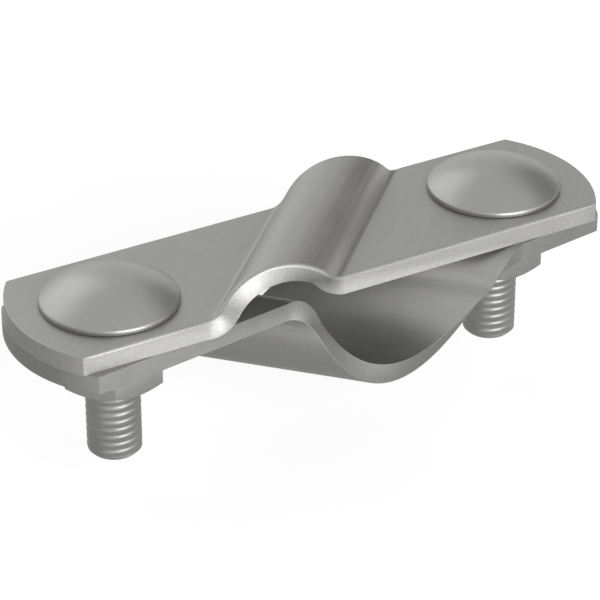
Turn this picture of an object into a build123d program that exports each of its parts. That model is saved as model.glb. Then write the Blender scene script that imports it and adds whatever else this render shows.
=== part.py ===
from build123d import *
import os
from dataclasses import dataclass
from math import atan2, cos, degrees, radians, sin, sqrt, tan

# A cross clamp: two diagonally folded strips drawn together by two carriage bolts, with an
# earth rod in the lower strip's trough and a thinner conductor crossing it under the arch.
#
# Frame, in millimetres: X runs through both bolts, Z points up through their heads, and the
# origin is midway between the bolts, level with the ends of their shanks.

# The two strips, which share one stock and one pair of bolts.
SHEET = 3.5  # thickness of the strip stock
STRIP_WIDTH = 30.0
END_REACH = 17.5  # from a bolt's axis to the rounded end of the strip
END_RADIUS = 25.0
BOLT_SPACING = 80.0

# Upper strip, folded into a half-round arch over the thin conductor.
ARCH_RADIUS = 5.0  # inside, the conductor's seat
ARCH_WALL_ANGLE = 63.5
ARCH_WALL_RUN = 1.0  # straight wall between the crown's bend and the foot's
ARCH_FOOT_RADIUS = 1.5
ARCH_CREASE_ANGLE = 45.0  # between the strip's length and its creases
ARCH_NEUTRAL = 0.31  # share of the thickness, from a bend's inside, that keeps its length

# Lower strip, folded the other way into a deep trough under the earth rod.
TROUGH_RADIUS = 10.0
TROUGH_WALL_ANGLE = 90.0
TROUGH_WALL_RUN = 1.4
TROUGH_FOOT_RADIUS = 3.0
TROUGH_CREASE_ANGLE = 54.5
TROUGH_NEUTRAL = 0.22

# Carriage bolts, M10 x 30.
THREAD_RADIUS = 4.9
BOLT_LENGTH = 30.0  # under the head
BOLT_END_CHAMFER = 0.8
HEAD_RADIUS = 12.3
HEAD_HEIGHT = 5.2
HEAD_RIM = 0.9
HEAD_EDGE_BEVEL = 0.4
NECK_SIDE = 10.0
NECK_DEPTH = 3.2
NECK_CORNER_ROUND = 0.8

# Hexagon nuts, M10.
NUT_ACROSS_FLATS = 17.0
NUT_HEIGHT = 8.4
NUT_FACE_SHARE = 0.92  # the flat ring on each end, as a share of the width across flats
NUT_CHAMFER_ANGLE = 30.0
NUT_BORE_CHAMFER = 0.6
NUT_TURN = 6.0  # a nut's corners, turned from the X axis

# Clearances.
NECK_GAP = 0.2  # each side of the square neck, in the upper strip
SHANK_GAP = 0.6  # round the shank, in the lower strip
THREAD_GAP = 0.05  # round the shank, in a nut

MATING_LEVEL = BOLT_LENGTH - SHEET  # the plane in which the strips meet
BOLT_AXES = [(-BOLT_SPACING / 2, 0), (BOLT_SPACING / 2, 0)]
SIDE_NAMES = ["left", "right"]


@dataclass(frozen=True)
class Fold:
    """A strip folded into a channel across its length, with the channel's crown upwards.

    The creases lie aslant, so folding draws each half of the strip in at right angles to the
    creases: the two flanges stay parallel but no longer share one centre line. The fold is
    described in the crease frame, with X across the creases, Y along them and the flanges'
    lower faces at Z = 0.
    """

    seat_radius: float
    wall_angle: float
    wall_run: float
    foot_radius: float
    crease_angle: float
    neutral: float
    hand: int  # 1 if the creases lean one way along the strip, -1 for the other

    @property
    def crown_height(self) -> float:
        """Height of the crown's inner face over the flanges' lower faces."""
        bends = self.seat_radius + self.foot_radius + SHEET
        angle = radians(self.wall_angle)
        return bends * (1 - cos(angle)) + self.wall_run * sin(angle)

    @property
    def half_span(self) -> float:
        """From the channel's middle to where a flange begins, across the creases."""
        bends = self.seat_radius + self.foot_radius + SHEET
        angle = radians(self.wall_angle)
        return bends * sin(angle) + self.wall_run * cos(angle)

    @property
    def shortening(self) -> float:
        """How much nearer the fold brings the flanges, across the creases."""
        bends = self.seat_radius + self.foot_radius + 2 * self.neutral * SHEET
        developed = bends * radians(self.wall_angle) + self.wall_run
        return 2 * (developed - self.half_span)

    @property
    def flat_spacing(self) -> float:
        """Hole spacing in the flat strip that becomes the bolt spacing once folded."""
        angle = radians(self.crease_angle)
        along, aside = self.shortening * sin(angle), self.shortening * cos(angle)
        return along + sqrt(BOLT_SPACING**2 - aside**2)

    @property
    def hole(self) -> tuple[float, float]:
        """Where the folded strip's right-hand hole is, in the crease frame."""
        angle = radians(self.crease_angle)
        across = (self.flat_spacing * sin(angle) - self.shortening) / 2
        return across, self.hand * self.flat_spacing * cos(angle) / 2

    @property
    def turn(self) -> float:
        """Degrees from the crease frame's X to the line through both holes."""
        across, along = self.hole
        return degrees(atan2(along, across))

    @property
    def yaw(self) -> float:
        """Degrees from the line through both holes to the strip's long direction."""
        return self.hand * (90 - self.crease_angle) - self.turn

    @property
    def run_direction(self) -> tuple[float, float]:
        """The strip's long direction in its flanges, in the crease frame."""
        angle = radians(self.crease_angle)
        return sin(angle), self.hand * cos(angle)


ARCH = Fold(
    ARCH_RADIUS, ARCH_WALL_ANGLE, ARCH_WALL_RUN, ARCH_FOOT_RADIUS, ARCH_CREASE_ANGLE, ARCH_NEUTRAL, 1
)
TROUGH = Fold(
    TROUGH_RADIUS, TROUGH_WALL_ANGLE, TROUGH_WALL_RUN, TROUGH_FOOT_RADIUS, TROUGH_CREASE_ANGLE,
    TROUGH_NEUTRAL, -1
)

REACH = BOLT_SPACING / 2 + 2 * END_REACH  # past every point of a strip, before it is trimmed


def make_flat(section: Plane, width: float, run: Vector) -> Part:
    """A flat of the strip, from one slanted cross-section to the next."""
    with BuildPart() as flat:
        with BuildSketch(section):
            Rectangle(width, SHEET)
        extrude(amount=run.length, dir=run.normalized())
    return flat.part


def make_bend(section: Plane, width: float, pivot: Vector, angle: float, advance: float) -> Part:
    """A bend of the strip: a round sector whose sides stay square to the sheet.

    The slanted cross-section swings about the pivot and shifts along it at the same time, so
    each side of the bend is a screw surface. A sleeve that follows that surface, fatter than
    the sheet by half the bend's inner radius on each face, trims an overlong sector to it.
    """
    turn_sense = 1 if angle > 0 else -1
    shift_sense = 1 if advance > 0 else -1
    arm = (section.origin - pivot).length
    sleeve_spare = (arm - SHEET / 2) / 2
    screw = Helix(
        pitch=abs(advance) * 360 / abs(angle),
        height=abs(advance),
        radius=arm,
        lefthand=turn_sense == shift_sense,
    )
    screw_start = Plane(pivot, x_dir=section.origin - pivot, z_dir=(0, shift_sense, 0))
    with BuildPart() as bend:
        with BuildSketch(section):
            Rectangle(2 * REACH, SHEET)
        revolve(axis=Axis(pivot, (0, -turn_sense, 0)), revolution_arc=abs(angle))
        with BuildSketch(section):
            Rectangle(width, SHEET + 2 * sleeve_spare)
        sweep(path=screw_start * screw, is_frenet=True, mode=Mode.INTERSECT)
    return bend.part


def make_half_strip(fold: Fold) -> Part:
    """Half of the folded strip, from the crown's middle out past the strip's end."""
    width = STRIP_WIDTH / sin(radians(fold.crease_angle))
    lean = fold.hand / tan(radians(fold.crease_angle))
    section = Plane((0, 0, fold.crown_height + SHEET / 2), x_dir=(0, 1, 0), z_dir=(1, 0, 0))
    pieces = []
    for turn_sense, inner_radius, flat_run in (
        (-1, fold.seat_radius, fold.wall_run),
        (1, fold.foot_radius, REACH),
    ):
        arm = inner_radius + SHEET / 2
        pivot = section.origin + section.y_dir * turn_sense * arm
        advance = lean * (inner_radius + fold.neutral * SHEET) * radians(fold.wall_angle)
        angle = turn_sense * fold.wall_angle
        pieces.append(make_bend(section, width, pivot, angle, advance))
        turned = section.rotated((0, -angle, 0))
        bend_end = pivot - turned.y_dir * turn_sense * arm + turned.x_dir * advance
        section = Plane(bend_end, x_dir=turned.x_dir, z_dir=turned.z_dir)
        run = (section.z_dir + section.x_dir * lean) * flat_run
        pieces.append(make_flat(section, width, run))
        section = section.moved(Pos(lean * flat_run, 0, flat_run))
    with BuildPart() as half:
        add(pieces)
    return half.part


def make_folded_strip(fold: Fold) -> Part:
    """The folded strip with its rounded ends, turned so that its holes lie on the X axis."""
    half = make_half_strip(fold)
    setback = END_RADIUS - END_REACH
    end = Vector(*fold.hole) - Vector(*fold.run_direction) * setback
    with BuildPart() as strip:
        add(half)
        add(half, rotation=(0, 0, 180))
        with BuildSketch():
            with Locations(end, -end):
                Circle(END_RADIUS)
            make_hull()
        extrude(amount=REACH, mode=Mode.INTERSECT)
    return Rot(0, 0, -fold.turn) * strip.part


def make_upper_plate() -> Part:
    """The arched strip, resting on the mating level, with a square hole for each neck."""
    strip = make_folded_strip(ARCH)
    hole_side = NECK_SIDE + 2 * NECK_GAP
    with BuildPart() as plate:
        add(strip)
        with BuildSketch():
            with Locations(*BOLT_AXES):
                Rectangle(hole_side, hole_side, rotation=ARCH.yaw)
        extrude(amount=SHEET, mode=Mode.SUBTRACT)
    return Pos(0, 0, MATING_LEVEL) * plate.part


def make_lower_plate() -> Part:
    """The troughed strip, hanging from the mating level, with a round hole for each shank."""
    strip = make_folded_strip(TROUGH)
    with BuildPart() as plate:
        add(strip)
        with Locations(*BOLT_AXES):
            Hole(THREAD_RADIUS + SHANK_GAP)
    return Pos(0, 0, MATING_LEVEL) * mirror(plate.part, about=Plane.XY)


def make_bolt(axis: tuple[float, float]) -> Part:
    """A carriage bolt: domed head, square neck and plain shank at the thread's size."""
    seat = Plane((*axis, BOLT_LENGTH))
    cap_rise = HEAD_HEIGHT - HEAD_RIM
    cap_radius = (HEAD_RADIUS**2 + cap_rise**2) / (2 * cap_rise)
    with BuildPart(seat) as bolt:
        Cylinder(HEAD_RADIUS, HEAD_HEIGHT, align=(Align.CENTER, Align.CENTER, Align.MIN))
        with Locations((0, 0, HEAD_HEIGHT - cap_radius)):
            Sphere(cap_radius, rotation=(90, 0, 0), mode=Mode.INTERSECT)
        rim = bolt.edges().filter_by(GeomType.CIRCLE).group_by(Axis.Z)[-1]
        chamfer(rim, HEAD_EDGE_BEVEL)
        with BuildSketch(seat):
            RectangleRounded(NECK_SIDE, NECK_SIDE, NECK_CORNER_ROUND, rotation=ARCH.yaw)
        extrude(amount=-NECK_DEPTH)
        with BuildSketch(seat):
            Circle(THREAD_RADIUS)
        extrude(amount=-BOLT_LENGTH)
        chamfer(bolt.edges().sort_by(Axis.Z)[0], BOLT_END_CHAMFER)
    return bolt.part


def make_nut(axis: tuple[float, float]) -> Part:
    """A hexagon nut, chamfered on both ends, tight under the lower strip."""
    corner_radius = NUT_ACROSS_FLATS / sqrt(3)
    face_radius = NUT_FACE_SHARE * NUT_ACROSS_FLATS / 2
    drop = (corner_radius - face_radius) * tan(radians(NUT_CHAMFER_ANGLE))
    top = Plane((*axis, MATING_LEVEL - SHEET))
    with BuildPart() as nut:
        with BuildSketch(top):
            RegularPolygon(corner_radius, 6, rotation=NUT_TURN)
        extrude(amount=-NUT_HEIGHT)
        with BuildSketch(Plane(top.origin, x_dir=(1, 0, 0), z_dir=(0, -1, 0))):
            with BuildLine():
                Polyline(
                    (0, 0),
                    (face_radius, 0),
                    (corner_radius, -drop),
                    (corner_radius, drop - NUT_HEIGHT),
                    (face_radius, -NUT_HEIGHT),
                    (0, -NUT_HEIGHT),
                    close=True,
                )
            make_face()
        revolve(axis=Axis(top.origin, (0, 0, 1)), mode=Mode.INTERSECT)
        with BuildSketch(top):
            Circle(THREAD_RADIUS + THREAD_GAP)
        extrude(amount=-NUT_HEIGHT, mode=Mode.SUBTRACT)
        bore = nut.faces().filter_by(GeomType.CYLINDER).sort_by(SortBy.AREA)[-1]
        chamfer(bore.edges(), NUT_BORE_CHAMFER)
    return nut.part


def export(part: Part, label: str) -> None:
    """Name a finished piece and write it to its own file."""
    part.label = label
    export_step(part, f"parts/{label}.step")


os.makedirs("parts", exist_ok=True)
export(make_upper_plate(), "upper_plate")
export(make_lower_plate(), "lower_plate")
for side, bolt_axis in zip(SIDE_NAMES, BOLT_AXES):
    export(make_bolt(bolt_axis), f"bolt_{side}")
    export(make_nut(bolt_axis), f"nut_{side}")
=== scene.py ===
"""A cross clamp for an earth rod and a thinner conductor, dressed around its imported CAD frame."""

import logging
from dataclasses import dataclass
from enum import Enum
from math import acos, atan2, cos, degrees, pi, radians, sin, sqrt, tan

import bmesh
import bpy
import numpy as np
from mathutils import Matrix, Vector


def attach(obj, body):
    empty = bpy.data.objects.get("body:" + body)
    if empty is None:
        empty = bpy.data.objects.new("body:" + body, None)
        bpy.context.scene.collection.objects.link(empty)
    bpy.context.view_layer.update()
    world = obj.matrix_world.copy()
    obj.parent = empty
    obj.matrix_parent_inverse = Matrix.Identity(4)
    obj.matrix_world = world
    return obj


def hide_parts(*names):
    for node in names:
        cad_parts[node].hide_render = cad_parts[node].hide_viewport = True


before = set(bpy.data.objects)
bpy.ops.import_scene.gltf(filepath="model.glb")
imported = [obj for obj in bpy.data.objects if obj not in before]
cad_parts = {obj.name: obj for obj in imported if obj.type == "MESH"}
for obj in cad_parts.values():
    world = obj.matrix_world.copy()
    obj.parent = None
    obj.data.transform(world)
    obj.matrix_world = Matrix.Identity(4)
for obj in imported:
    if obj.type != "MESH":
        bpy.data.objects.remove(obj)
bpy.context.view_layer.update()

log = logging.getLogger("cross_clamp")

Socket = bpy.types.NodeSocket
Triple = tuple[float, float, float]
Feed = Socket | float | tuple[float, ...]  # what a node's input takes
ProfileRow = tuple[float, float, float, float]  # two numbers of a place, two of its normal
RimRow = tuple[float, float, float, float, float]  # the same, and a share of the edge's rounding

MM = 0.001
SHEET = 3.5
STRIP_WIDTH = 30.0
BOLT_LENGTH = 30.0
MATING_LEVEL = BOLT_LENGTH - SHEET
BOLT_SPACING = 80.0
THREAD_PITCH = 1.5
THREAD_GAP = 0.05  # round the shank, in a nut
FLOOR_LEVEL = -8.8  # so low that the opened clamp's trough still clears the floor
CARD_LIFT = 0.1  # of a card that lies on the floor
SEEING_RAYS = ("Is Camera Ray", "Is Glossy Ray", "Is Transmission Ray")


class Side(Enum):
    """The clamp's two ends, with the X of each bolt's axis in millimetres."""

    LEFT = -BOLT_SPACING / 2
    RIGHT = BOLT_SPACING / 2


class Slot(Enum):
    """The record's material slots."""

    STRIP = "strip"
    BOLT = "bolt"
    NUT = "nut"


# ---------------------------------------------------------------- meshes


@dataclass
class Surface:
    """Vertices, their normals, their place in the unworked stock, and faces, in millimetres."""

    points: np.ndarray
    normals: np.ndarray
    stock: np.ndarray
    faces: list[tuple[int, ...]]
    finish_of_face: list[int]

    def to_object(self, name: str, materials: list[bpy.types.Material]) -> bpy.types.Object:
        """Make the Blender object, smooth shaded with these normals.

        Args:
            name: the piece's name.
            materials: what finish_of_face counts into.

        Returns:
            The new object, linked to the scene.
        """
        mesh = bpy.data.meshes.new(name)
        mesh.from_pydata((self.points * MM).tolist(), [], self.faces)
        mesh.polygons.foreach_set("use_smooth", [True] * len(self.faces))
        mesh.polygons.foreach_set("material_index", self.finish_of_face)
        stock = mesh.attributes.new("stock", "FLOAT_VECTOR", "POINT")
        stock.data.foreach_set("vector", self.stock.astype(np.float32).ravel())
        for material in materials:
            mesh.materials.append(material)
        lengths = np.maximum(np.linalg.norm(self.normals, axis=1, keepdims=True), 1e-9)
        mesh.normals_split_custom_set_from_vertices((self.normals / lengths).tolist())
        mesh.validate()
        made = bpy.data.objects.new(name, mesh)
        bpy.context.scene.collection.objects.link(made)
        return made


def revolved(
    profile: list[ProfileRow], columns: int, finish: int = 0
) -> Surface:
    """Turn a profile about Z into a closed surface.

    Args:
        profile: (radius, height, outward normal's radial part, its vertical part) from one
            point on the axis to the other, the body on its left hand side going up.
        columns: how many steps round the axis.
        finish: the material's number.

    Returns:
        The surface, with its poles merged into single vertices.
    """
    points: list[Triple] = []
    normals: list[Triple] = []
    faces: list[tuple[int, ...]] = []
    rings: list[list[int]] = []
    for radius, height, out, up in profile:
        steps = 1 if radius < 1e-6 else columns
        ring = []
        for step in range(steps):
            angle = 2 * pi * step / columns
            ring.append(len(points))
            points.append((radius * cos(angle), radius * sin(angle), height))
            normals.append((out * cos(angle), out * sin(angle), up))
        rings.append(ring)
    for low, high in zip(rings, rings[1:]):
        for step in range(columns):
            after = (step + 1) % columns
            corners = [low[step % len(low)], low[after % len(low)]]
            corners += [high[after % len(high)], high[step % len(high)]]
            kept = tuple(dict.fromkeys(corners))
            if len(kept) > 2:
                faces.append(kept)
    grid = np.array(points)
    return Surface(grid, np.array(normals), grid.copy(), faces, [finish] * len(faces))


def rounded_square(side: float, corner: float, clockwise: bool = False) -> list[ProfileRow]:
    """The outline of a square with rounded corners about the origin.

    Args:
        side: its width.
        corner: the corners' radius.
        clockwise: which way the rows run.

    Returns:
        Rows of (x, y, outward normal's x, its y).
    """
    flat = side / 2 - corner
    rows = []
    for quarter in range(4):
        turn = (-90 if clockwise else 90) * quarter % 360
        base = radians(turn + 45)
        for index in range(7):
            angle = radians(turn + (90 - 15 * index if clockwise else 15 * index))
            x = flat * sqrt(2) * cos(base) + corner * cos(angle)
            y = flat * sqrt(2) * sin(base) + corner * sin(angle)
            rows.append((x, y, cos(angle), sin(angle)))
    return rows


def weld(made: bmesh.types.BMesh, distance: float = 1e-4) -> None:
    """Merge points that coincide and drop the faces that this empties."""
    bmesh.ops.remove_doubles(made, verts=made.verts[:], dist=distance)
    bmesh.ops.dissolve_degenerate(made, dist=1e-5, edges=made.edges[:])


# ---------------------------------------------------------------- finishes


@dataclass
class NodeSheet:
    """A material's node tree, with short calls for what the finishes share."""

    tree: bpy.types.NodeTree

    @classmethod
    def blank(cls, owner: bpy.types.Material | bpy.types.World) -> "NodeSheet":
        """Clear the nodes of a material or world, and take up its tree.

        Args:
            owner: the material or world.

        Returns:
            The empty sheet.
        """
        owner.use_nodes = True
        owner.node_tree.nodes.clear()
        return cls(owner.node_tree)

    def add(
        self, kind: str, inputs: dict[int | str, Feed], output: int | str = 0, **settings: object
    ) -> Socket:
        """Add a node, set its properties and feed its inputs.

        Args:
            kind: the node's type.
            inputs: a socket to link or a value to set, by each input's name or number.
            output: which output to hand back.
            settings: the node's properties.

        Returns:
            The output's socket.
        """
        node = self.tree.nodes.new(kind)
        for key, value in settings.items():
            setattr(node, key, value)
        for key, feed in inputs.items():
            if isinstance(feed, Socket):
                self.tree.links.new(feed, node.inputs[key])
            else:
                node.inputs[key].default_value = feed
        return node.outputs[output]

    def show(self, shader: Socket, output: str = "ShaderNodeOutputMaterial") -> None:
        """Send a shader to the output."""
        self.tree.links.new(shader, self.tree.nodes.new(output).inputs["Surface"])

    def seen(self) -> Socket:
        """One where the camera, the metal or glass sees it, nothing for other light."""
        rays = [self.add("ShaderNodeLightPath", {}, ray) for ray in SEEING_RAYS]
        return self.math("MAXIMUM", self.math("MAXIMUM", rays[0], rays[1]), rays[2])

    def noise(self, where: Socket, scale: float, detail: float = 3.0, rough: float = 0.5) -> Socket:
        """Fractal noise at a scale per unit of the given coordinate, as a value about 0.5."""
        inputs = {"Vector": where, "Scale": scale, "Detail": detail, "Roughness": rough}
        return self.add("ShaderNodeTexNoise", inputs, "Fac")

    def stretched(self, where: Socket, scale: Triple) -> Socket:
        """A coordinate multiplied by a factor along each axis."""
        return self.add("ShaderNodeVectorMath", {0: where, 1: scale}, operation="MULTIPLY")

    def spread(
        self, value: Socket, low: float, high: float, to_low: float, to_high: float
    ) -> Socket:
        """Map a value from one range to another, held inside it."""
        inputs = {0: value, 1: low, 2: high, 3: to_low, 4: to_high}
        return self.add("ShaderNodeMapRange", inputs, clamp=True)

    def lane(
        self, value: Socket, middle: float, flat: float, far: float, most: float
    ) -> Socket:
        """A share that is full round a middle value and fades out on both sides.

        Args:
            value: what runs across the lane.
            middle: its value in the lane's middle.
            flat: how far from there the share stays full.
            far: how far from there it reaches nothing.
            most: the full share.

        Returns:
            The share's socket.
        """
        away = self.math("ABSOLUTE", self.math("SUBTRACT", value, middle), 0.0)
        return self.spread(away, flat, far, most, 0.0)

    def smooth(self, value: Socket) -> Socket:
        """Ease a share in and out."""
        easing = {"clamp": True, "interpolation_type": "SMOOTHSTEP"}
        return self.add("ShaderNodeMapRange", {0: value}, **easing)

    def math(self, operation: str, first: Socket, second: Socket | float) -> Socket:
        """One arithmetic step on two values."""
        return self.add("ShaderNodeMath", {0: first, 1: second}, operation=operation)

    def blend(self, share: Socket, first: Triple | Socket, second: Triple | Socket) -> Socket:
        """Mix two colours by a share."""
        a, b = [(*end, 1.0) if isinstance(end, tuple) else end for end in (first, second)]
        return self.add("ShaderNodeMix", {"Factor": share, 6: a, 7: b}, 2, data_type="RGBA")

    def bump(
        self, height: Socket, distance: float, strength: float = 1.0, under: Socket | None = None
    ) -> Socket:
        """Turn heights, in millimetres, into a shading normal, over another one if given."""
        inputs = {"Strength": strength, "Distance": distance * MM, "Height": height}
        return self.add("ShaderNodeBump", inputs | ({} if under is None else {"Normal": under}))


WORN_SHARE = 1.35  # of the tone, where grains are rubbed bright
# The same darker share also serves as painted shade in the concave crease
PITTED_AND_SHADED_SHARE = 0.72  # of the tone, in pits and drawn lines
# A brown tint darkened as painted shade on the crown's slope
BROWN_SHADE_TONE = (0.235, 0.212, 0.196)
# A pale tone as a painted reflection of the flange in the wall
PAINTED_REFLECTION_TONE = (0.50, 0.495, 0.48)
# Lanes of painted light along a fold, in millimetres from the crown's middle: middle, even part,
# fade. They hold painted shade on the crown's slope, a painted reflection on the wall and painted
# shade in the concave crease.
BROWN_SHADE_LANE = (4.6, 1.0, 4.2)
PAINTED_REFLECTION_LANE = (6.9, 0.5, 1.5)
CREASE_SHADE_LANE = (9.1, 0.2, 0.9)


@dataclass(frozen=True)
class SatinSteel:
    """Blasted or tumbled steel: an even grey with fine grain, faint clouds and faint streaks, and
    where asked for, painted shade and a painted reflection in lanes along a fold.
    """

    name: str
    tone: Triple
    roughness: float
    grain: float = 0.28
    grain_depth: float = 0.010
    clouds: float = 0.10
    streaks: float = 0.0
    speckle: float = 0.45
    painted_bands: float = 0.0  # how strongly the painted shade on the crown and in its crease and the painted reflection on the wall show
    metallic: float = 0.82

    def build(self) -> bpy.types.Material:
        """Make the node material.

        Returns:
            The material, its patterns fixed to the stock that the piece was made from.
        """
        material = bpy.data.materials.new(self.name)
        sheet = NodeSheet.blank(material)
        place = sheet.add("ShaderNodeAttribute", {}, "Vector", attribute_name="stock")
        cloud = sheet.noise(place, 0.11, 4.0, 0.6)
        fine = sheet.noise(place, 1.0 / self.grain, 2.0, 0.6)
        speck = sheet.noise(place, 0.9 / self.grain, 1.0, 0.5)
        drawn = sheet.noise(sheet.stretched(place, (2.2, 0.05, 1.0)), 1.0, 4.0, 0.65)

        dark = tuple(channel * (1 - self.clouds) for channel in self.tone)
        light = tuple(channel * (1 + self.clouds) for channel in self.tone)
        clouded = sheet.blend(sheet.spread(cloud, 0.3, 0.7, 0.0, 1.0), dark, light)
        worn = tuple(channel * WORN_SHARE for channel in self.tone)
        specked = sheet.blend(sheet.spread(speck, 0.45, 0.75, 0.0, self.speckle), clouded, worn)
        # Darker tone for real pits and drawn lines, and for the painted crease shade
        pitted_and_shaded = tuple(channel * PITTED_AND_SHADED_SHARE for channel in self.tone)
        streaked = sheet.blend(
            sheet.spread(drawn, 0.45, 0.75, 0.0, max(self.streaks, 0.001)), specked, pitted_and_shaded
        )

        across = sheet.add("ShaderNodeSeparateXYZ", {0: place}, "X")
        lanes = sheet.noise(sheet.stretched(place, (0.9, 0.02, 1.0)), 1.0)
        # Painted shade with a brown tint, in a streaky lane on the crown's slope
        brown_shade = sheet.math(
            "MULTIPLY", sheet.lane(across, *BROWN_SHADE_LANE, self.painted_bands),
            sheet.spread(lanes, 0.40, 0.62, 0.0, 1.0),
        )
        brown_shaded = sheet.blend(brown_shade, streaked, BROWN_SHADE_TONE)
        # A pale lane on the wall: painted reflection of the flange
        reflection_share = sheet.lane(across, *PAINTED_REFLECTION_LANE, self.painted_bands)
        with_reflection = sheet.blend(reflection_share, brown_shaded, PAINTED_REFLECTION_TONE)
        # A dark line in the concave crease at the foot: painted shade
        crease_shaded = sheet.blend(sheet.lane(across, *CREASE_SHADE_LANE, self.painted_bands), with_reflection, pitted_and_shaded)

        uneven = sheet.math("ADD", sheet.spread(cloud, 0.3, 0.7, -0.03, 0.03), self.roughness)
        ridged = sheet.math("ADD", uneven, sheet.spread(drawn, 0.3, 0.7, -0.03, 0.04))
        grained = sheet.bump(fine, self.grain_depth)
        wavy = sheet.bump(sheet.noise(place, 0.35, 2.0), 0.02, 0.6, grained)
        normal = sheet.bump(drawn, 0.012, max(self.streaks, 0.1), wavy)
        finish = {
            "Base Color": crease_shaded, "Metallic": self.metallic, "Roughness": ridged, "Normal": normal,
        }
        sheet.show(sheet.add("ShaderNodeBsdfPrincipled", finish))
        return material


# ---------------------------------------------------------------- folded strips


@dataclass(frozen=True)
class Fold:
    """How a strip is folded into a channel whose creases lie aslant, crown upwards.

    Points in the flat blank are (u, v, w): u across the creases from the channel's middle,
    measured on the layer that keeps its length, v along the creases, and w up through the
    sheet. Points in the folded strip are (x, y, z) over the flanges' lower faces.
    """

    seat_radius: float
    wall_angle: float
    wall_run: float
    foot_radius: float
    crease_angle: float
    neutral: float
    hand: int  # which way the creases slant, 1 or -1
    step: float = 3.0  # degrees of bend between two rows of vertices

    @property
    def crown_length(self) -> float:
        """Developed length of half the crown."""
        return (self.seat_radius + self.neutral * SHEET) * radians(self.wall_angle)

    @property
    def foot_length(self) -> float:
        """Developed length of one foot bend."""
        return (self.foot_radius + self.neutral * SHEET) * radians(self.wall_angle)

    @property
    def half_length(self) -> float:
        """Developed length from the channel's middle to a flange."""
        return self.crown_length + self.wall_run + self.foot_length

    @property
    def half_span(self) -> float:
        """Folded distance from the channel's middle to a flange."""
        bends = self.seat_radius + self.foot_radius + SHEET
        angle = radians(self.wall_angle)
        return bends * sin(angle) + self.wall_run * cos(angle)

    @property
    def crown_height(self) -> float:
        """Height of the crown's inner face over the flanges' lower faces."""
        bends = self.seat_radius + self.foot_radius + SHEET
        angle = radians(self.wall_angle)
        return bends * (1 - cos(angle)) + self.wall_run * sin(angle)

    @property
    def shortening(self) -> float:
        """How much nearer the fold brings the flanges, across the creases."""
        return 2 * (self.half_length - self.half_span)

    @property
    def flat_spacing(self) -> float:
        """Hole spacing in the blank that becomes the bolt spacing once folded."""
        angle = radians(self.crease_angle)
        along, aside = self.shortening * sin(angle), self.shortening * cos(angle)
        return along + sqrt(BOLT_SPACING**2 - aside**2)

    @property
    def turn(self) -> float:
        """Degrees from the crease frame's X to the line through both folded holes."""
        angle = radians(self.crease_angle)
        across = (self.flat_spacing * sin(angle) - self.shortening) / 2
        along = self.hand * self.flat_spacing * cos(angle) / 2
        return degrees(atan2(along, across))

    def rows(self) -> list[float]:
        """Where the blank is cut so that it bends evenly, as values of u.

        Returns:
            The values, rising.
        """
        found = [0.0]
        start = 0.0
        for length in (self.crown_length, self.foot_length):
            count = max(2, round(self.wall_angle / self.step))
            found += [start + length * index / count for index in range(count + 1)]
            start += length + self.wall_run
        return sorted({round(sign * u, 6) for u in found for sign in (-1, 1)})

    def bend(self, blank: np.ndarray, normals: np.ndarray) -> tuple[np.ndarray, np.ndarray]:
        """Fold points of the blank and their normals.

        Args:
            blank: points as rows of (u, v, w).
            normals: their outward normals in the flat blank.

        Returns:
            Folded points and folded normals, in the crease frame.
        """
        side = np.where(blank[:, 0] < 0, -1.0, 1.0)
        u = np.abs(blank[:, 0])
        v = blank[:, 1]
        w = blank[:, 2]
        wall = radians(self.wall_angle)
        crown_layer = self.seat_radius + self.neutral * SHEET
        foot_layer = self.foot_radius + self.neutral * SHEET
        crown_end = self.crown_length
        foot_start = crown_end + self.wall_run
        low_centre = self.crown_height - self.seat_radius
        high_centre = SHEET + self.foot_radius

        lean = np.clip(u / crown_layer, 0, wall)
        past_foot = np.clip((u - foot_start) / foot_layer, 0, wall)
        lean = np.where(u > foot_start, wall - past_foot, lean)
        run = np.clip(u - crown_end, 0, self.wall_run)
        crown_x = (self.seat_radius + w) * np.sin(lean) + run * cos(wall)
        crown_z = low_centre + (self.seat_radius + w) * np.cos(lean) - run * sin(wall)
        reach = self.foot_radius + SHEET - w
        foot_x = self.half_span - reach * np.sin(lean) + np.maximum(u - self.half_length, 0)
        foot_z = high_centre - reach * np.cos(lean)
        in_foot = u > foot_start
        x = np.where(in_foot, foot_x, crown_x)
        z = np.where(in_foot, foot_z, crown_z)

        stretch = np.ones_like(u)
        in_crown = u < crown_end
        stretch = np.where(in_crown, (self.seat_radius + w) / crown_layer, stretch)
        in_bend = in_foot & (u < self.half_length)
        stretch = np.where(in_bend, reach / foot_layer, stretch)
        across = side * normals[:, 0] / stretch
        folded = np.column_stack((side * x, v, z))
        out_x = across * np.cos(lean) + normals[:, 2] * np.sin(lean)
        out_z = -across * np.sin(lean) + normals[:, 2] * np.cos(lean)
        return folded, np.column_stack((side * out_x, normals[:, 1], out_z))


@dataclass(frozen=True)
class Edge:
    """How the blank's rim is rounded, and how many degrees its cut face leans back upwards."""

    upper: float
    lower: float
    lean: float = 0.0


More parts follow.
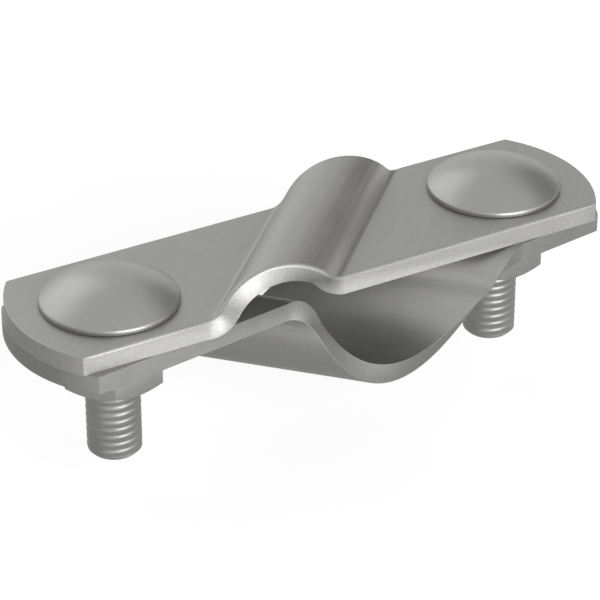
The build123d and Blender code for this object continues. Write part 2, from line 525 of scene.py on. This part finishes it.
@dataclass
class FoldedStrip:
    """One strip of the clamp: a blank with round ends and two holes, folded across its middle."""

    name: str
    node: str
    body: str
    fold: Fold
    crown_down: bool
    hole_side: float = 0.0  # of a square hole
    hole_radius: float = 0.0  # of a round hole
    hole_corner: float = 0.35
    end_reach: float = 17.5
    end_radius: float = 25.0
    corner_radius: float = 0.15
    front_edge: Edge = Edge(0.60, 0.07, 4.0)
    back_edge: Edge = Edge(0.07, 0.60)
    end_edge: Edge = Edge(0.12, 0.07)
    hole_edge: Edge = Edge(0.25, 0.10)

    def outline(self) -> list[RimRow]:
        """The blank's rim, anticlockwise.

        Returns:
            Rows of (s, q, normal's s, normal's q, share of the long edges' rounding), with s
            along the strip and q across it.
        """
        half = STRIP_WIDTH / 2
        centre = self.fold.flat_spacing / 2 - (self.end_radius - self.end_reach)
        corner = self.corner_radius
        inner = self.end_radius - corner
        corner_s = centre + sqrt(inner**2 - (half - corner) ** 2)
        meet = atan2(half - corner, corner_s - centre)
        quarter: list[RimRow] = []
        for index in range(25):
            angle = -meet + 2 * meet * index / 24
            s = centre + self.end_radius * cos(angle)
            quarter.append((s, self.end_radius * sin(angle), cos(angle), sin(angle), 0.0))
        for index in range(1, 9):
            angle = meet + (pi / 2 - meet) * index / 8
            s = corner_s + corner * cos(angle)
            q = half - corner + corner * sin(angle)
            quarter.append((s, q, cos(angle), sin(angle), 0.0))
        for back, share in ((0.5, 0.3), (1.2, 0.6), (2.2, 0.85), (3.6, 1.0)):
            quarter.append((corner_s - back, half, 0.0, 1.0, share))
        rim = list(quarter)
        for s, q, along, across, share in reversed(quarter[25:]):
            rim.append((-s, q, -along, across, share))
        for s, q, along, across, share in quarter:
            rim.append((-s, -q, -along, -across, share))
        for s, q, along, across, share in reversed(quarter[25:]):
            rim.append((s, -q, along, -across, share))
        return rim

    def hole_rim(self, centre: float) -> list[RimRow]:
        """A hole's rim, clockwise, in the rows that outline() gives.

        Args:
            centre: the hole's place along the strip.

        Returns:
            The rows.
        """
        rim = []
        if self.hole_radius:
            for index in range(64):
                angle = -2 * pi * index / 64
                s = centre + self.hole_radius * cos(angle)
                q = self.hole_radius * sin(angle)
                rim.append((s, q, -cos(angle), -sin(angle), 0.0))
            return rim
        for x, y, along, across in rounded_square(self.hole_side, self.hole_corner, True):
            rim.append((centre + x, y, -along, -across, 0.0))
        return rim

    def edge_rows(self, edge: Edge) -> list[ProfileRow]:
        """Steps down over a rounded rim.

        Args:
            edge: the radii.

        Returns:
            Rows of (inset, w, normal's outward part, normal's upward part).
        """
        rows = []
        for index in range(6):
            angle = pi / 2 * index / 5
            inset = edge.upper * (1 - sin(angle))
            rows.append((inset, SHEET - edge.upper * (1 - cos(angle)), sin(angle), cos(angle)))
        for index in range(4):
            angle = pi / 2 * (1 - index / 3)
            inset = edge.lower * (1 - sin(angle))
            rows.append((inset, edge.lower * (1 - cos(angle)), sin(angle), -cos(angle)))
        slope = tan(radians(edge.lean))
        return [(inset + slope * w, w, out, up + slope * out) for inset, w, out, up in rows]

    def blank(self) -> tuple[bmesh.types.BMesh, bmesh.types.BMLayerItem]:
        """The flat blank as a closed mesh of (s, q, w), with its normals in a vertex layer.

        Returns:
            The mesh and the layer. Faces on the rim have material 1, the others 0.
        """
        made = bmesh.new()
        layer = made.verts.layers.float_vector.new("flat_normal")
        hole = self.fold.flat_spacing / 2
        rims = [(self.outline(), self.front_edge, self.back_edge, self.end_edge)]
        for centre in (-hole, hole):
            rims.append((self.hole_rim(centre), *[self.hole_edge] * 3))
        faces_up: list[bmesh.types.BMEdge] = []
        faces_down: list[bmesh.types.BMEdge] = []
        for rim, front_edge, back_edge, end_edge in rims:
            loops: list[list[bmesh.types.BMVert]] = []
            for s, q, along, across, share in rim:
                long_edge = front_edge if q < 0 else back_edge
                upper = end_edge.upper + (long_edge.upper - end_edge.upper) * share
                lower = end_edge.lower + (long_edge.lower - end_edge.lower) * share
                lean = end_edge.lean + (long_edge.lean - end_edge.lean) * share
                column = []
                for inset, w, out, up in self.edge_rows(Edge(upper, lower, lean)):
                    vertex = made.verts.new((s - along * inset, q - across * inset, w))
                    vertex[layer] = Vector((along * out, across * out, up))
                    column.append(vertex)
                loops.append(column)
            for here, after in zip(loops, loops[1:] + loops[:1]):
                for row in range(len(here) - 1):
                    quad = (here[row], here[row + 1], after[row + 1], after[row])
                    face = made.faces.new(quad)
                    face.material_index = 1
                faces_up.append(made.edges.get((here[0], after[0])))
                faces_down.append(made.edges.get((here[-1], after[-1])))
        for edges, up in ((faces_up, 1.0), (faces_down, -1.0)):
            filled = bmesh.ops.triangle_fill(made, edges=edges, use_beauty=True, use_dissolve=False)
            for face in filled["geom"]:
                if isinstance(face, bmesh.types.BMFace):
                    face.normal_update()
                    if face.normal.z * up < 0:
                        face.normal_flip()
                    face.material_index = 0
        return made, layer

    def surface(self) -> Surface:
        """Cut the blank along the creases and fold it.

        Returns:
            The folded strip in the clamp's frame.
        """
        flat, layer = self.blank()
        skew = self.fold.hand * radians(90 - self.fold.crease_angle)
        flat.transform(Matrix.Rotation(skew, 4, "Z"))
        turned = Matrix.Rotation(skew, 3, "Z")
        for vertex in flat.verts:
            vertex[layer] = turned @ vertex[layer]
        for u in self.fold.rows():
            everything = flat.verts[:] + flat.edges[:] + flat.faces[:]
            bmesh.ops.bisect_plane(
                flat, geom=everything, dist=1e-4, plane_co=(u, 0, 0), plane_no=(1, 0, 0)
            )
        weld(flat, 2e-4)
        flat.verts.index_update()
        blank = np.array([tuple(vertex.co) for vertex in flat.verts])
        normals = np.array([tuple(vertex[layer]) for vertex in flat.verts])
        normals /= np.linalg.norm(normals, axis=1, keepdims=True)
        faces = [tuple(vertex.index for vertex in face.verts) for face in flat.faces]
        finishes = [face.material_index for face in flat.faces]
        flat.free()

        points, bent = self.fold.bend(blank, normals)
        back = -radians(self.fold.turn)
        rotation = np.array([[cos(back), -sin(back), 0], [sin(back), cos(back), 0], [0, 0, 1]])
        points, bent = points @ rotation.T, bent @ rotation.T
        if self.crown_down:
            points[:, 2] *= -1
            bent[:, 2] *= -1
            faces = [face[::-1] for face in faces]
        points[:, 2] += MATING_LEVEL
        return Surface(points, bent, blank, faces, finishes)

    def build(self, face: bpy.types.Material, rim: bpy.types.Material) -> bpy.types.Object:
        """Make the strip and put it in place of its CAD node.

        Args:
            face: the finish of both faces of the sheet.
            rim: the finish of its cut edges.

        Returns:
            The strip's object.
        """
        made = self.surface().to_object(self.name, [face, rim])
        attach(made, self.body)
        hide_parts(self.node)
        return made


# ---------------------------------------------------------------- threads, bolts and nuts


def helical_skin(
    made: bmesh.types.BMesh,
    grid: list[list[bmesh.types.BMVert]],
    per_pitch: int,
    inward: bool = False,
    finish: int = 0,
) -> None:
    """Join a helical grid into faces, the end of each turn onto the start of the next.

    Args:
        made: the mesh that holds the points.
        grid: the points, by row and column.
        per_pitch: how many rows the helix climbs in a turn.
        inward: whether the faces look at the axis.
        finish: the faces' material number.
    """
    last = len(grid[0]) - 1
    for row in range(len(grid) - 1):
        for column in range(last + 1):
            ahead, beside = (row, column + 1) if column < last else (row + per_pitch, 0)
            if ahead + 1 >= len(grid):
                continue
            here, above = grid[row][column], grid[row + 1][column]
            after, over = grid[ahead][beside], grid[ahead + 1][beside]
            quad = (here, above, over, after) if inward else (here, after, over, above)
            made.faces.new(quad).material_index = finish


@dataclass(frozen=True)
class Thread:
    """A right-hand metric thread, as a radius over height and angle, in millimetres."""

    crest: float = 4.9
    root: float = 4.79
    pitch: float = THREAD_PITCH
    steepness: float = 1.4

    def radius(self, height: float) -> float:
        """The radius at a height over the middle of a root, at angle zero.

        Args:
            height: distance along the axis.

        Returns:
            The radius.
        """
        wave = 0.5 - 0.5 * self.steepness * cos(2 * pi * height / self.pitch)
        return self.root + (self.crest - self.root) * min(max(wave, 0.0), 1.0)

    def rows(self, start: float, end: float, per_pitch: int) -> list[float]:
        """Heights at angle zero that cover a length once the helix shifts them.

        Args:
            start: the lower end.
            end: the upper end.
            per_pitch: how many rows in one pitch.

        Returns:
            The heights, rising.
        """
        first = int(start / self.pitch * per_pitch) - per_pitch - 1
        last = int(end / self.pitch * per_pitch) + 1
        return [index * self.pitch / per_pitch for index in range(first, last + 1)]


@dataclass
class CarriageBolt:
    """A carriage bolt, M10 x 30: low domed head, square neck and a rolled thread to its end."""

    side: Side
    head_radius: float = 12.3
    head_height: float = 5.2
    rim_height: float = 0.9
    rim_round: float = 0.75
    neck_side: float = 10.0
    neck_depth: float = 3.2
    under_round: float = 0.25
    neck_corner: float = 0.8
    neck_edge: float = 0.4
    neck_foot: float = 3.6  # half the flat under the neck, round which the shank stands
    neck_turn: float = -1.229  # with the arched strip, which lies askew to the bolts
    overlap: float = 0.02  # of the neck into the head
    end_bevel: float = 0.8
    columns: int = 128
    shank_columns: int = 72
    shank_rows: int = 14  # in one pitch

    @property
    def name(self) -> str:
        """The piece's name."""
        return f"carriage_bolt_{self.side.name.lower()}"

    def head_profile(self) -> list[ProfileRow]:
        """The head's profile, from the axis under it up to the middle of the dome.

        Returns:
            Rows of (radius, height, outward normal's radial part, its vertical part).
        """
        rise = self.head_height - self.rim_height
        ball = (self.head_radius**2 + rise**2) / (2 * rise)
        base = BOLT_LENGTH
        top = base + self.head_height
        under = self.under_round
        profile = [(0.0, base, 0.0, -1.0), (self.head_radius - under, base, 0.0, -1.0)]
        for index in range(1, 4):
            angle = pi / 2 * index / 3
            radius = self.head_radius - under * (1 - sin(angle))
            profile.append((radius, base + under * (1 - cos(angle)), sin(angle), -cos(angle)))
        # The rounded shoulder is tangent to the upright rim and to the ball.
        shoulder = self.rim_round
        inner = ball - shoulder
        across = self.head_radius - shoulder
        meet = acos(across / inner)
        centre = top - ball + inner * sin(meet)
        profile.append((self.head_radius, centre, 1.0, 0.0))
        for index in range(1, 9):
            angle = meet * index / 8
            radius, height = across + shoulder * cos(angle), centre + shoulder * sin(angle)
            profile.append((radius, height, cos(angle), sin(angle)))
        for index in range(1, 25):
            angle = meet + (pi / 2 - meet) * index / 24
            height = top - ball + ball * sin(angle)
            profile.append((ball * cos(angle), height, cos(angle), sin(angle)))
        profile[-1] = (0.0, top, 0.0, 1.0)
        return profile

    def head(self) -> Surface:
        """The domed head, closed underneath."""
        return revolved(self.head_profile(), self.columns)

    def neck(self) -> Surface:
        """The square neck under the head, with its lower edges rounded.

        Returns:
            The closed surface.
        """
        outline = rounded_square(self.neck_side, self.neck_corner)
        top = BOLT_LENGTH
        low = BOLT_LENGTH - self.neck_depth
        soft = self.neck_edge
        rows = [(0.0, top + self.overlap, 1.0, 0.0), (0.0, low + soft, 1.0, 0.0)]
        for step in (22.5, 45, 67.5, 90):
            out, down = cos(radians(step)), sin(radians(step))
            rows.append((soft * (1 - out), low + soft * (1 - down), out, -down))
        rows.append((self.neck_side / 2 - self.neck_foot, low, 0.0, -1.0))
        points: list[Triple] = []
        normals: list[Triple] = []
        turned = Matrix.Rotation(radians(self.neck_turn), 3, "Z")
        for inset, height, out, up in rows:
            for x, y, along, across in outline:
                reach = 1.0 - inset / (self.neck_side / 2)
                at = turned @ Vector((x * reach, y * reach, 0))
                facing = turned @ Vector((along * out, across * out, up))
                points.append((at.x, at.y, height))
                normals.append(tuple(facing))
        count = len(outline)
        faces = []
        for row in range(len(rows) - 1):
            for index in range(count):
                after = (index + 1) % count
                faces.append(
                    (row * count + index, (row + 1) * count + index,
                     (row + 1) * count + after, row * count + after)
                )
        faces.append(tuple(range(count)))
        faces.append(tuple(reversed(range((len(rows) - 1) * count, len(rows) * count))))
        grid = np.array(points)
        return Surface(grid, np.array(normals), grid.copy(), faces, [0] * len(faces))

    def shank(self, thread: Thread) -> Surface:
        """The threaded shank from under the neck to its bevelled end.

        Args:
            thread: the thread it carries.

        Returns:
            The closed surface.
        """
        top = BOLT_LENGTH - self.neck_depth + 0.1
        columns = self.shank_columns
        per_pitch = self.shank_rows
        rows = thread.rows(0.0, top, per_pitch)

        def place(row: int, column: int) -> Triple:
            """A point of the helical grid, held between the shank's two ends.

            Args:
                row: the grid's row.
                column: the grid's column.

            Returns:
                The point.
            """
            height = rows[row] + thread.pitch * column / columns
            held = min(max(height, 0.0), top)
            phase = held - thread.pitch * column / columns
            bevel = thread.crest - self.end_bevel + held + THREAD_GAP
            radius = min(thread.radius(phase), bevel)
            angle = 2 * pi * column / columns
            return radius * cos(angle), radius * sin(angle), held

        made = bmesh.new()
        grid = [
            [made.verts.new(place(row, column)) for column in range(columns)]
            for row in range(len(rows))
        ]
        helical_skin(made, grid, per_pitch)
        weld(made)
        open_edges = [edge for edge in made.edges if edge.is_boundary]
        bmesh.ops.holes_fill(made, edges=open_edges, sides=0)
        bmesh.ops.recalc_face_normals(made, faces=made.faces[:])
        return from_bmesh(made)

    def build(self, thread: Thread, head: bpy.types.Material, shank: bpy.types.Material) -> None:
        """Make the bolt and put it in place of its CAD node.

        Args:
            thread: the thread on its shank.
            head: the finish of the head and neck.
            shank: the finish of the thread.
        """
        parts = [self.head(), self.neck(), self.shank(thread)]
        whole = joined(parts, [0, 0, 1])
        whole.points[:, 0] += self.side.value
        made = whole.to_object(self.name, [head, shank])
        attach(made, "upper")
        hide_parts(f"bolt_{self.side.name.lower()}")


def from_bmesh(made: bmesh.types.BMesh) -> Surface:
    """Take a closed mesh over as a surface, with smooth normals, and free it.

    Args:
        made: the mesh, in millimetres.

    Returns:
        The surface.
    """
    made.normal_update()
    made.verts.index_update()
    points = np.array([tuple(vertex.co) for vertex in made.verts])
    normals = np.array([tuple(vertex.normal) for vertex in made.verts])
    faces = [tuple(vertex.index for vertex in face.verts) for face in made.faces]
    finishes = [face.material_index for face in made.faces]
    made.free()
    return Surface(points, normals, points.copy(), faces, finishes)


def joined(parts: list[Surface], finishes: list[int]) -> Surface:
    """Put surfaces together as one.

    Args:
        parts: the surfaces.
        finishes: the material number of each.

    Returns:
        The surface that holds them all.
    """
    faces: list[tuple[int, ...]] = []
    numbers: list[int] = []
    start = 0
    for part, finish in zip(parts, finishes):
        faces += [tuple(index + start for index in face) for face in part.faces]
        numbers += [finish] * len(part.faces)
        start += len(part.points)
    return Surface(
        np.vstack([part.points for part in parts]),
        np.vstack([part.normals for part in parts]),
        np.vstack([part.stock for part in parts]),
        faces,
        numbers,
    )


@dataclass
class HexNut:
    """A hexagon nut, M10, chamfered on both ends and threaded through."""

    side: Side
    across_flats: float = 17.0
    height: float = 8.4
    face_share: float = 0.92
    chamfer_angle: float = 30.0
    bore_bevel: float = 0.6
    turn: float = 6.0
    corner_round: float = 0.20
    edge_round: float = 0.12
    thread_gap: float = 0.06
    minor_radius: float = 4.3
    columns: int = 144
    bore_rows: int = 10  # in one pitch
    corner_crowding: float = 0.45

    @property
    def name(self) -> str:
        """The piece's name."""
        return f"hex_nut_{self.side.name.lower()}"

    def hexagon(self, angle: float) -> tuple[float, Vector]:
        """The hexagon's radius in a direction, and its outward normal there.

        Args:
            angle: the direction from the axis, from a corner.

        Returns:
            The radius and the unit normal in the plane.
        """
        sector = (angle + pi / 6) % (pi / 3) - pi / 6
        corner = self.across_flats / sqrt(3)
        soft = self.corner_round
        centre = corner - soft * 2 / sqrt(3)
        middle = angle - sector
        # Within the rounded corner the outline is a small arc about a point on the diagonal.
        edge_y = soft * sin(pi / 6)
        edge_x = centre + soft * cos(pi / 6)
        if abs(tan(sector)) * edge_x <= edge_y:
            radius = centre * cos(sector) + sqrt(soft**2 - (centre * sin(sector)) ** 2)
            facing = Vector((radius * cos(sector) - centre, radius * sin(sector))) / soft
            out = Matrix.Rotation(middle, 2) @ facing
            return radius, out
        flat = middle + (pi / 6 if sector > 0 else -pi / 6)
        return (self.across_flats / 2) / cos(angle - flat), Vector((cos(flat), sin(flat)))

    def angles(self) -> list[float]:
        """Directions round the nut from a corner, closer together at its corners.

        Returns:
            The directions, rising.
        """
        found = []
        per_side = self.columns // 6
        for side in range(6):
            for index in range(per_side):
                share = index / per_side * 2 - 1
                eased = (1 + self.corner_crowding) * share - self.corner_crowding * share**3
                found.append((side + 0.5) * pi / 3 + eased * pi / 6)
        return found

    @property
    def mouth(self) -> float:
        """The bevelled bore's radius at the nut's faces."""
        return Thread().crest + THREAD_GAP + self.bore_bevel

    def outside(self, made: bmesh.types.BMesh, top: float) -> None:
        """Add the hexagon with its two chamfered faces.

        Args:
            made: the mesh to add to.
            top: height of the nut's upper face.
        """
        face = self.face_share * self.across_flats / 2
        edge = self.edge_round
        slope = tan(radians(self.chamfer_angle))
        columns: list[list[bmesh.types.BMVert]] = []
        for angle in self.angles():
            radius, _ = self.hexagon(angle)
            drop = (radius - face) * slope
            soft = min(edge, drop * 0.5)
            column = [
                (self.mouth, 0.0),
                (self.mouth + 0.08, 0.0),
                (face - edge, 0.0),
                (face, 0.02),
                (face + edge, edge * slope),
                (radius - soft, (radius - soft - face) * slope),
                (radius - soft * 0.3, drop + soft * 0.1),
                (radius, drop + soft),
            ]
            column = [(min(distance, radius), depth) for distance, depth in column]
            mirrored = [(distance, self.height - depth) for distance, depth in reversed(column)]
            turned = angle + radians(self.turn)
            columns.append([
                made.verts.new((distance * cos(turned), distance * sin(turned), top - depth))
                for distance, depth in column + mirrored
            ])
        for here, after in zip(columns, columns[1:] + columns[:1]):
            for row in range(len(here) - 1):
                made.faces.new((here[row], here[row + 1], after[row + 1], after[row]))

    def bore(self, made: bmesh.types.BMesh, thread: Thread, top: float) -> None:
        """Add the threaded bore with its bevelled mouths, as material 1.

        Args:
            made: the mesh to add to.
            thread: the thread that it runs on.
            top: height of the nut's upper face.
        """
        low = top - self.height
        directions = [angle + radians(self.turn) for angle in self.angles()]
        per_pitch = self.bore_rows
        grid: list[list[bmesh.types.BMVert]] = []
        for height_at_zero in thread.rows(low - thread.pitch, top, per_pitch):
            ring = []
            for direction in directions:
                lift = thread.pitch * direction / (2 * pi)
                held = min(max(height_at_zero + lift, low), top)
                cut = thread.radius(held - lift) + self.thread_gap
                cone = self.mouth - min(held - low, top - held)
                radius = max(cut, self.minor_radius, cone)
                place = (radius * cos(direction), radius * sin(direction), held)
                ring.append(made.verts.new(place))
            grid.append(ring)
        helical_skin(made, grid, per_pitch, inward=True, finish=1)

    def surface(self, thread: Thread) -> Surface:
        """The nut's outside and its threaded bore as one closed skin, under the lower strip.

        Args:
            thread: the thread that it runs on.

        Returns:
            The closed surface.
        """
        made = bmesh.new()
        self.outside(made, MATING_LEVEL - SHEET)
        self.bore(made, thread, MATING_LEVEL - SHEET)
        weld(made)
        return from_bmesh(made)

    def build(self, thread: Thread, flats: bpy.types.Material, bore: bpy.types.Material) -> None:
        """Make the nut and put it in place of its CAD node.

        Args:
            thread: the thread in its bore.
            flats: the finish of its outside.
            bore: the finish of its thread.
        """
        whole = self.surface(thread)
        whole.points[:, 0] += self.side.value
        made = whole.to_object(self.name, [flats, bore])
        body = f"nut_{self.side.name.lower()}"
        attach(made, body)
        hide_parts(body)


# ---------------------------------------------------------------- studio


def flat_sheet(
    name: str, half: float, tall: float, material: bpy.types.Material
) -> bpy.types.Object:
    """A rectangle in the XY plane about the origin, linked to the scene.

    Args:
        name: what it is called.
        half: half its width along X, in metres.
        tall: half its height along Y, in metres.
        material: its one material.

    Returns:
        The object.
    """
    mesh = bpy.data.meshes.new(name)
    corners = [(-half, -tall, 0), (half, -tall, 0), (half, tall, 0), (-half, tall, 0)]
    mesh.from_pydata(corners, [], [(0, 1, 2, 3)])
    mesh.materials.append(material)
    made = bpy.data.objects.new(name, mesh)
    bpy.context.scene.collection.objects.link(made)
    return made


@dataclass
class SoftBox:
    """A soft lamp: where it stands, seen from the clamp, how wide it is and how bright."""

    name: str
    direction: Triple
    distance: float
    width: float
    height: float
    power: float

    def build(self, aim: Vector) -> None:
        """Hang the lamp and turn it to the clamp.

        Args:
            aim: the point it faces.
        """
        lamp = bpy.data.lights.new(self.name, "AREA")
        lamp.shape = "RECTANGLE"
        lamp.size, lamp.size_y = self.width, self.height
        lamp.energy = self.power
        made = bpy.data.objects.new(self.name, lamp)
        away = Vector(self.direction).normalized()
        made.location = aim + away * self.distance
        made.rotation_euler = away.to_track_quat("Z", "Y").to_euler()
        bpy.context.scene.collection.objects.link(made)


@dataclass
class Card:
    """A card with soft edges that the metal mirrors and the camera doesn't see."""

    name: str
    direction: Triple
    distance: float
    width: float
    height: float
    tone: float
    fade: float = 0.5  # share of its half size over which it fades out
    lying: bool = False

    def material(self) -> bpy.types.Material:
        """An even glow that fades towards the card's edges.

        Returns:
            The material.
        """
        material = bpy.data.materials.new(self.name)
        sheet = NodeSheet.blank(material)
        place = sheet.add("ShaderNodeTexCoord", {}, "Generated")
        shares = []
        for axis in ("X", "Y"):
            along = sheet.add("ShaderNodeSeparateXYZ", {0: place}, axis)
            shares.append(sheet.smooth(sheet.lane(along, 0.5, 0.5 - 0.5 * self.fade, 0.5, 1.0)))
        share = sheet.math("MULTIPLY", *shares)
        clear = sheet.add("ShaderNodeBsdfTransparent", {})
        shine = sheet.add("ShaderNodeEmission", {"Strength": self.tone})
        sheet.show(sheet.add("ShaderNodeMixShader", {0: share, 1: clear, 2: shine}))
        return material

    def build(self, aim: Vector) -> None:
        """Stand the card up facing the clamp, or lay it on the floor.

        Args:
            aim: the point it faces.
        """
        made = flat_sheet(self.name, self.width / 2, self.height / 2, self.material())
        away = Vector(self.direction).normalized()
        made.location = aim + away * self.distance
        made.rotation_euler = away.to_track_quat("Z", "Y").to_euler()
        if self.lying:
            made.location = (away * self.distance).to_2d().to_3d()
            made.location.z = (FLOOR_LEVEL + CARD_LIFT) * MM
            made.rotation_euler = (0.0, 0.0, atan2(away.y, away.x) + pi / 2)
        made.visible_camera = False
        made.visible_diffuse = False
        made.visible_shadow = False
        made.visible_transmission = False


def heading(azimuth: float, elevation: float) -> Triple:
    """The direction at an azimuth from +X and an elevation, in degrees."""
    around, up = radians(azimuth), radians(elevation)
    return cos(up) * cos(around), cos(up) * sin(around), sin(up)


@dataclass
class Studio:
    """The pale floor, the white surroundings, the lamps and the camera."""

    floor_reach: float = 6.0
    floor_glow: float = 0.77
    floor_tone: float = 0.35
    fill: float = 0.45
    aim: Triple = (0.0, 0.0, 0.022)
    camera_place: Triple = (-0.23922, -0.39003, 0.28409)
    camera_fall: float = 30.181  # degrees under the level
    camera_turn: float = -31.346  # degrees from looking along +Y
    focal_length: float = 176.44

    def build(self) -> None:
        """Set the whole studio up."""
        self.floor()
        self.surroundings()
        aim = Vector(self.aim)
        for stand in (
            SoftBox("front_softbox", heading(-88, 17), 0.75, 0.58, 0.54, 4.8),
            SoftBox("back_softbox", heading(106, 34), 0.9, 0.84, 0.66, 1.5),
            Card("right_card", heading(6, 28), 0.8, 1.10, 0.68, 0.30),
            Card("left_card", heading(180, 8), 0.8, 0.90, 0.60, 0.42),
            Card("floor_card", heading(125, 0), 0.22, 0.90, 0.90, 0.55, 0.5, True),
            Card("front_card", heading(-108, 0), 0.20, 0.31, 0.34, 4.3, 0.30, True),
        ):
            stand.build(aim)
        self.camera()

    def floor(self) -> None:
        """Lay the floor under the bolts' ends, its own glow keeping it pale round the shadow."""
        material = bpy.data.materials.new("studio_floor")
        sheet = NodeSheet.blank(material)
        matt = sheet.add("ShaderNodeBsdfDiffuse", {"Color": (self.floor_tone,) * 3 + (1.0,)})
        strength = sheet.math("MULTIPLY", sheet.seen(), self.floor_glow)
        glow = sheet.add("ShaderNodeEmission", {"Strength": strength})
        sheet.show(sheet.add("ShaderNodeAddShader", {0: matt, 1: glow}))
        made = flat_sheet("studio_floor", self.floor_reach, self.floor_reach, material)
        made.location.z = FLOOR_LEVEL * MM

    def surroundings(self) -> None:
        """White where the camera or the metal sees it, a plain soft fill elsewhere."""
        world = bpy.data.worlds.new("studio_white")
        bpy.context.scene.world = world
        sheet = NodeSheet.blank(world)
        strength = sheet.spread(sheet.seen(), 0.0, 1.0, self.fill, 1.0)
        white = {"Color": (1.0, 1.0, 1.0, 1.0), "Strength": strength}
        sheet.show(sheet.add("ShaderNodeBackground", white), "ShaderNodeOutputWorld")

    def camera(self) -> None:
        """Stand the camera to the front and left, looking down on the clamp."""
        lens = bpy.data.cameras.new("studio_camera")
        lens.lens, lens.sensor_width = self.focal_length, 36.0
        lens.clip_start, lens.clip_end = 0.01, 50.0
        made = bpy.data.objects.new("studio_camera", lens)
        made.location = self.camera_place
        made.rotation_euler = (radians(90 - self.camera_fall), 0.0, radians(self.camera_turn))
        bpy.context.scene.collection.objects.link(made)
        bpy.context.scene.camera = made


# ---------------------------------------------------------------- the clamp


@dataclass
class CrossClamp:
    """The whole clamp: two folded strips on two bolts with their nuts."""

    arch: Fold
    trough: Fold
    thread: Thread

    def build(self) -> None:
        """Build and dress every piece."""
        tone = (0.305, 0.303, 0.294)
        # The arched strip's face carries painted shade and a painted reflection in lanes along its
        # crown
        upper_face = SatinSteel(
            "arched_strip_face_painted_bands", tone, 0.44, clouds=0.03, streaks=0.08, speckle=0.18, painted_bands=0.6
        ).build()
        upper_rim = SatinSteel(
            "arched_strip_rim", tone, 0.45, 0.32, clouds=0.05, speckle=0.5
        ).build()
        lower_face = SatinSteel(
            "troughed_strip_face", tone, 0.45, clouds=0.03, streaks=0.2, speckle=0.2
        ).build()
        # A darker copy of the strip steel on the troughed strip's rim: painted shade for the dimmer
        # light its cut edge mirrors
        lower_rim_shaded = SatinSteel(
            "troughed_strip_rim_shaded", (0.245, 0.244, 0.237), 0.45, 0.32, clouds=0.05
        ).build()
        head = SatinSteel("bolt_head_steel", tone, 0.35, clouds=0.03, speckle=0.12).build()
        rolled = SatinSteel(
            "rolled_thread_steel", (0.30, 0.30, 0.292), 0.35, grain_depth=0.003, speckle=0.2
        ).build()
        nut = SatinSteel("nut_steel", (0.315, 0.313, 0.305), 0.42, clouds=0.04, speckle=0.3).build()
        strips = (
            FoldedStrip(
                "arched_strip", "upper_plate", "upper", self.arch, False, hole_side=10.4
            ),
            FoldedStrip(
                "troughed_strip", "lower_plate", "lower", self.trough, True, hole_radius=5.5,
                front_edge=Edge(0.08, 0.05, 0.5), back_edge=Edge(0.05, 0.08),
                end_edge=Edge(0.10, 0.12),
            ),
        )
        for strip, face, rim in zip(strips, (upper_face, lower_face), (upper_rim, lower_rim_shaded)):
            strip.build(face, rim)
            log.info("%s built", strip.name)
        for side in Side:
            bolt = CarriageBolt(side)
            bolt.build(self.thread, head, rolled)
            log.info("%s built", bolt.name)
            hex_nut = HexNut(side)
            hex_nut.build(self.thread, nut, rolled)
            log.info("%s built", hex_nut.name)


def main() -> None:
    """Build the clamp and its studio."""
    logging.basicConfig(level=logging.INFO, format="%(name)s: %(message)s")
    bpy.context.scene.view_settings.view_transform = "Standard"
    clamp = CrossClamp(
        arch=Fold(
            seat_radius=5.0, wall_angle=63.5, wall_run=1.0, foot_radius=1.5,
            crease_angle=45.0, neutral=0.31, hand=1,
        ),
        trough=Fold(
            seat_radius=10.0, wall_angle=90.0, wall_run=1.4, foot_radius=3.0,
            crease_angle=54.5, neutral=0.22, hand=-1,
        ),
        thread=Thread(),
    )
    clamp.build()
    Studio().build()
    bpy.context.view_layer.update()
    log.info("boxes written")


if __name__ == "__main__":
    main()
